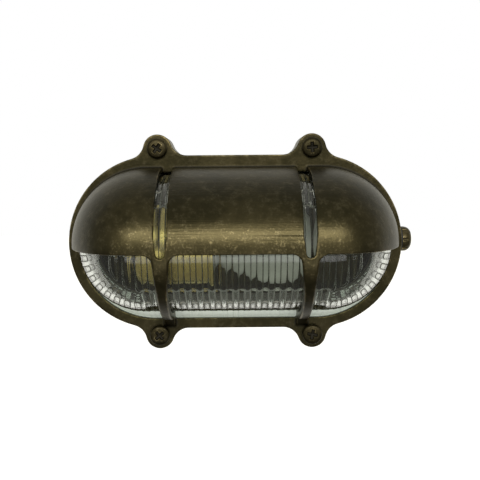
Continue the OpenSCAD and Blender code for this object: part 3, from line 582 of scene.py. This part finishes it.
# Cover: one brass casting, an oval flange with four lugs, the eyelid hood with its two slots, and two keeled
# guard bars that run down over the glass to the flange. Four screws hold it to the base.
def trued(points):
    """Brings points on the hood's outside or inside onto its two dome arcs, and says which lie there."""
    flange_out, hood_t, reach, run_out, tiny = 0.028, 0.0028, 0.00014, 0.00006, 1e-9
    x, out, z = points[:, 0], -points[:, 1] - flange_out, points[:, 2]
    past = np.maximum(np.abs(x) - end_x, 0.0)
    off = np.hypot(past, z)
    front = (out - front_arc_out) * arcs_run > off * arcs_rise
    away_r = np.where(front, off, off + wall_arc_back)
    away_h = np.where(front, out - front_arc_out, np.maximum(out, 0.0))
    away = np.maximum(np.hypot(away_r, away_h), tiny)
    depth = away - np.where(front, front_arc_r, wall_arc_r)
    miss = np.where(depth > -hood_t / 2, depth, depth + hood_t)
    share = np.clip((reach - np.abs(miss)) / run_out, 0.0, 1.0) * (out > -0.0002)
    step = -share * miss / away
    flat = np.where(off > tiny, away_r / np.maximum(off, tiny), 0.0)
    moved = points.copy()
    moved[:, 0] += step * flat * past * np.sign(x)
    moved[:, 1] -= step * away_h
    moved[:, 2] += step * flat * z
    return moved, share


cast_copy("front_cover", "cover_casting", 0.00048, 4, 195000, olive_brass, trued)


# Cover screws: four turned brass pan heads with a cross recess, driven through the lugs into the base.
# Their crowns and the rims of the recess are rubbed bright by the driver.
screw_low, screw_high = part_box("cover_screws")
head_r, head_t, shank_r = 0.006, 0.0036, 0.003
arm_w, arm_l, arm_t, arm_edge, lip_w = 0.0008, 0.003, 0.0019, 0.0005, 0.0004
lug_x = screw_high.x - head_r
lug_z = screw_high.z - head_r
seat_y = screw_low.y + head_t


def pan_head(name, rings, sides):
    """A pan head with a cross recess sunk in its crown, on its shank, standing on the origin and facing -Y."""
    points, proud = [], []
    steps = list(np.linspace(0, 0.8, rings)) + [0.88, 0.94, 0.98, 1.0]
    for q in steps:
        for k in range(sides):
            turn = 2 * math.pi * k / sides
            x, z = head_r * q * math.cos(turn), head_r * q * math.sin(turn)
            rise = head_t * (0.55 + 0.45 * math.sqrt(max(0.0, 1 - q ** 4)))
            arm = min(max(abs(x) - arm_w, abs(z) - arm_l), max(abs(z) - arm_w, abs(x) - arm_l))
            sunk = min(1.0, max(0.0, 0.5 - arm / arm_edge))
            sunk = sunk * sunk * (3 - 2 * sunk)
            depth = arm_t * (1 - 0.5 * min(1.0, q / 0.52))
            lip = math.exp(-((arm - lip_w) / lip_w) ** 2)
            points.append((x, -(rise - sunk * depth), z))
            # The cross recess gets a negative value, which the finish darkens: patina and painted shade in the
            # recess.
            proud.append(0.32 * lip + 0.25 * q ** 6 - 0.8 * sunk)
    for r, h in ((1.0, 0.3), (0.995, 0.05), (0.98, 0.0), (shank_r / head_r, 0.0)):
        for k in range(sides):
            turn = 2 * math.pi * k / sides
            points.append((head_r * r * math.cos(turn), -head_t * h, head_r * r * math.sin(turn)))
            # Under the head the value is negative, so the finish darkens there: painted shade under the head.
            proud.append(0.1 if h > 0.1 else -0.2)
    shank_l = screw_high.y - seat_y
    for h in (0.001, shank_l - 0.0006, shank_l):
        for k in range(sides):
            turn = 2 * math.pi * k / sides
            r = shank_r if h < shank_l else shank_r * 0.8
            points.append((r * math.cos(turn), h, r * math.sin(turn)))
            proud.append(0.0)
    rows = len(points) // sides
    faces = bands(rows, sides) + [[(rows - 1) * sides + k for k in range(sides)]]
    mesh = bpy.data.meshes.new(name)
    mesh.from_pydata(points, [], faces)
    mesh.attributes.new("proud", "FLOAT", "POINT").data.foreach_set("value", proud)
    weld(mesh, 1e-7, outward=True)
    return mesh


screw_sizes = {"First turn": 0.62, "Turn step": 0.9}
driven, driven_keys, put = tree_with_sizes(
    "drive_screws", screw_sizes, [("Screw", "NodeSocketObject"), ("Brass", "NodeSocketMaterial")])
g = Finish(driven)
pattern = g.add("GeometryNodeObjectInfo", None, {"Object": put["Screw"]}, out="Geometry")
which = g.add("GeometryNodeInputIndex")
turned = g.add("ShaderNodeCombineXYZ", None, {1: put["First turn"] + which * put["Turn step"]})
placed = g.add("GeometryNodeInstanceOnPoints", None,
               {"Points": put["Geometry"], "Instance": pattern, "Rotation": turned})
real = g.add("GeometryNodeRealizeInstances", None, {"Geometry": placed})
coated = g.add("GeometryNodeSetMaterial", None, {"Geometry": real, "Material": put["Brass"]})
g.add("NodeGroupOutput", None, {"Geometry": coated})

screw_brass = patina_brass("screw_brass", (0.028, 0.024, 0.011), (0.046, 0.038, 0.018), (0.42, 0.34, 0.16),
                           0.4, 0.12, 0.6)
one_screw = bpy.data.objects.new("one_screw", pan_head("one_screw", 34, 72))
bpy.context.scene.collection.objects.link(one_screw)
places = bpy.data.meshes.new("cover_screw_set")
places.from_pydata([(x, seat_y, z) for z in (lug_z, -lug_z) for x in (-lug_x, lug_x)], [], [])
cover_screw_set = bpy.data.objects.new("cover_screw_set", places)
bpy.context.scene.collection.objects.link(cover_screw_set)
grown(cover_screw_set, driven, driven_keys, {**screw_sizes, "Screw": one_screw, "Brass": screw_brass})
bpy.data.objects.remove(one_screw)
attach(cover_screw_set, "root")
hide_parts("cover_screws")


# Blanking plug: a turned brass plug with a domed, slotted and grooved head, screwed into the side entry's boss.
# It squeezes a black rubber washer against the boss.
plug_brass = patina_brass("plug_brass", (0.06, 0.052, 0.025), (0.09, 0.074, 0.036), (0.45, 0.36, 0.17),
                          0.36, 0.16, 0.6)
cast_copy("blanking_plug", "plug_turned", 0.00025, 2, 40000, plug_brass)
dress("plug_washer", black_rubber)


# Studio: a pale floor below and behind the light, and a white surround that the metal and the glass see dimmed.
# A long strip lamp above the camera and a soft one overhead are shaded from the glass; a weak one stands low.
floor_mesh = bpy.data.meshes.new("floor")
floor_z = -0.42
floor_corners = ((-6, 0.3), (6, 0.3), (6, 6), (-6, 6))
floor_mesh.from_pydata([(x, y, floor_z) for x, y in floor_corners], [], [(0, 1, 2, 3)])
floor = bpy.data.objects.new("floor", floor_mesh)
bpy.context.scene.collection.objects.link(floor)
floor_paint, f = new_finish("floor_paint")
place = f.add("ShaderNodeTexCoord", out="Object")
mottle = f.noise(place, 6.0, 3.0)
paint = f.add("ShaderNodeBsdfDiffuse", None, {
    "Color": f.blend(mottle, (0.86, 0.86, 0.86, 1), (0.88, 0.88, 0.88, 1))})
glow = f.add("ShaderNodeEmission", None, {"Color": (1, 1, 1, 1), "Strength": 0.5})
camera_ray, glossy_ray = (f.add("ShaderNodeLightPath", out=way) for way in ("Is Camera Ray", "Is Glossy Ray"))
seen = camera_ray.maths("MAXIMUM", camera_ray, glossy_ray * 0.4)
both = f.add("ShaderNodeAddShader", None, {0: paint, 1: glow})
coat(floor_paint, f.add("ShaderNodeMixShader", None, {0: seen, 1: paint, 2: both}))
floor_mesh.materials.append(floor_paint)

world = bpy.data.worlds.new("studio")
world.use_nodes = True
world.node_tree.nodes.clear()
bpy.context.scene.world = world
w = Finish(world.node_tree)
camera_ray, glossy_ray, through_ray = (
    w.add("ShaderNodeLightPath", out=way) for way in ("Is Camera Ray", "Is Glossy Ray", "Is Transmission Ray"))
toward = w.add("ShaderNodeTexCoord", out="Generated")
back, up = (w.add("ShaderNodeSeparateXYZ", None, {0: toward}, out=axis) for axis in "YZ")
behind, above, low = back.step(0.5, 0.9), up.step(-0.22, 0.06), 1 - up.step(0.1, 0.4)
mirrored = glossy_ray.maths("MAXIMUM", glossy_ray, through_ray)
level = mirrored * (0.2 + above * (0.26 + low * 0.2) + behind * 0.36) + (1 - mirrored) * 0.8
level = camera_ray + (1 - camera_ray) * level
tint = w.blend(camera_ray, (1, 0.98, 0.88, 1), (1, 1, 1, 1))
sky = w.add("ShaderNodeBackground", None, {"Color": tint, "Strength": level})
w.add("ShaderNodeOutputWorld", None, {"Surface": sky})


def lamp(name, place, aim, size, power, colour=(1, 1, 1)):
    """A soft rectangular lamp turned towards a point."""
    light = bpy.data.lights.new(name, "AREA")
    light.shape = "RECTANGLE"
    light.size, light.size_y = size
    light.energy = power
    light.color = colour
    body = bpy.data.objects.new(name, light)
    body.location = place
    body.rotation_euler = (Vector(aim) - Vector(place)).to_track_quat("-Z", "Y").to_euler()
    bpy.context.scene.collection.objects.link(body)
    return body


strip = lamp("strip_lamp", (0, -1.05, 0.44), (0, -0.08, 0), (1.2, 0.14), 5.4, (1.0, 0.97, 0.9))
shaded = bpy.data.collections.new("shaded_from_lamps")
shaded.objects.link(lens)
shaded.collection_objects[0].light_linking.link_state = "EXCLUDE"
strip.light_linking.receiver_collection = shaded
overhead = lamp("overhead_lamp", (0, -0.35, 1.1), (0, -0.05, 0), (1.1, 0.8), 0.5)
overhead.light_linking.receiver_collection = shaded
lamp("low_lamp", (0, -0.75, -0.29), (0, -0.08, -0.01), (1.0, 0.16), 0.6)

target = Vector((0, -0.028, 0))
height, roll, distance, picture = math.radians(4.57), math.radians(-0.48), 0.46, 480
eye = target + distance * Vector((0, -math.cos(height), math.sin(height)))
camera = bpy.data.cameras.new("camera")
camera.sensor_width = 36
camera.lens = 57.5
camera.shift_x = 4.7 / picture
camera.shift_y = 2.0 / picture
camera.clip_start = 0.01
viewer = bpy.data.objects.new("camera", camera)
viewer.location = eye
viewer.rotation_mode = "QUATERNION"
viewer.rotation_quaternion = (target - eye).to_track_quat("-Z", "Y") @ Quaternion((0, 0, 1), roll)
bpy.context.scene.collection.objects.link(viewer)
bpy.context.scene.camera = viewer
bpy.context.scene.view_settings.view_transform = "Standard"
